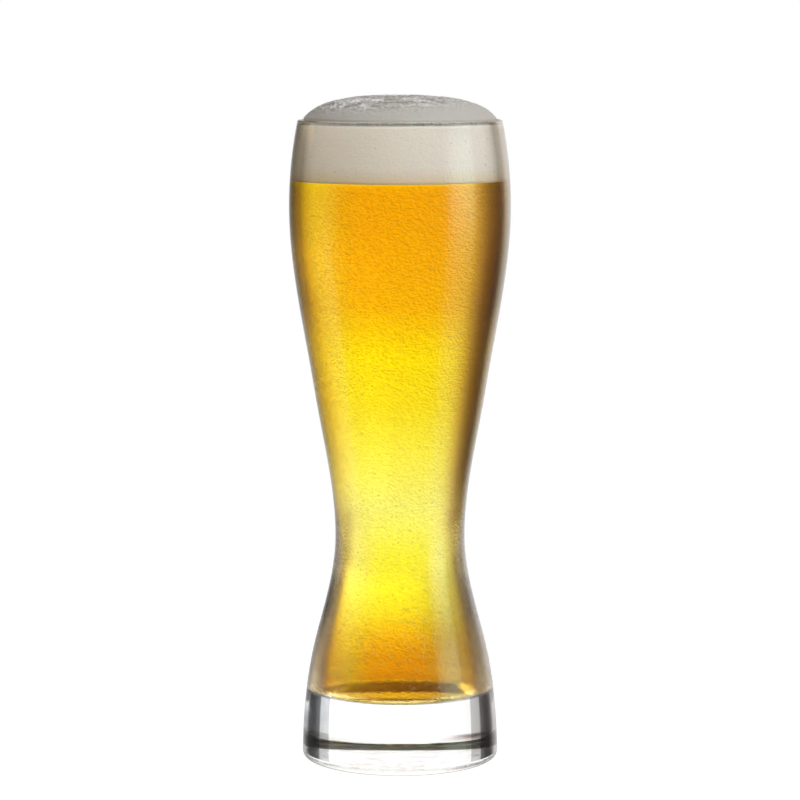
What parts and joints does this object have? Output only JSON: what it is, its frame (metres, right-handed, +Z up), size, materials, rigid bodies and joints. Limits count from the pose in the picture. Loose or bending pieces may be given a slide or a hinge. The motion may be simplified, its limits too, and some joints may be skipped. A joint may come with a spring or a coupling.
{
  "type": "weizen glass",
  "caption": "Tall waisted drinking glass with a thick clear foot and a swelling bowl, full of wheat beer under a domed head of foam.",
  "frame": {"origin": "centre of the resting face under the foot", "axes": "+Z up along the glass's axis, from the foot to the rim"},
  "size_m": [0.0826, 0.0826, 0.2502],
  "materials": {
    "glass": "clear, polished",
    "beer": "clear golden liquid",
    "foam_head": "soft white foam"
  },
  "bodies": {
    "root": {"glass": "glass", "beer": "beer", "foam_head": "foam_head"}
  },
  "joints": []
}
